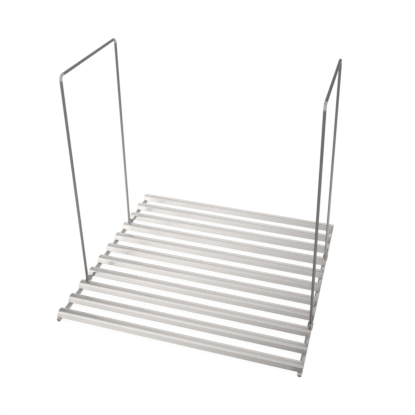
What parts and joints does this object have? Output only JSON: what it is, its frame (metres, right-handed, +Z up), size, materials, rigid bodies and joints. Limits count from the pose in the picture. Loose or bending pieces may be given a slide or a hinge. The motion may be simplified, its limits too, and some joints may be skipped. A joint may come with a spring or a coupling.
{
  "type": "drying rack",
  "caption": "Slatted metal drying rack: bent sheet slats laid across round side rods, with tall wire bails hinged on the rods that stand up for hanging and fold down flat.",
  "frame": {"origin": "middle of the rack in plan, on the surface it stands on, which the hinge sleeves touch", "axes": "+X along the slats to the right, +Y from front to back along the side rods, +Z up"},
  "size_m": [0.457, 0.4298, 0.4433],
  "materials": {
    "slat_sheet": "bright rolled stainless sheet, fine grain along the slat",
    "rod_bar": "drawn stainless bar, bright",
    "bail_wire": "drawn steel wire, darker and duller than the bar"
  },
  "bodies": {
    "rack": {"slat_01": "slat_sheet", "slat_02": "slat_sheet", "slat_03": "slat_sheet", "slat_04": "slat_sheet", "slat_05": "slat_sheet", "slat_06": "slat_sheet", "slat_07": "slat_sheet", "slat_08": "slat_sheet", "slat_09": "slat_sheet", "slat_10": "slat_sheet", "slat_11": "slat_sheet", "left_side_rod": "rod_bar", "right_side_rod": "rod_bar"},
    "left_bail": {"left_bail_wire": "bail_wire", "left_front_hinge_sleeve": "rod_bar", "left_rear_hinge_sleeve": "rod_bar"},
    "right_bail": {"right_bail_wire": "bail_wire", "right_front_hinge_sleeve": "rod_bar", "right_rear_hinge_sleeve": "rod_bar"}
  },
  "joints": [
    {"name": "left_bail_fold", "type": "hinge", "parent": "rack", "child": "left_bail", "pos_m": [-0.2235, 0, 0.005], "axis": [0, 1, 0], "range_deg": [-91.5, 86.4]},
    {"name": "right_bail_fold", "type": "hinge", "parent": "rack", "child": "right_bail", "pos_m": [0.2235, 0, 0.005], "axis": [0, -1, 0], "range_deg": [-91.5, 86.4]}
  ]
}
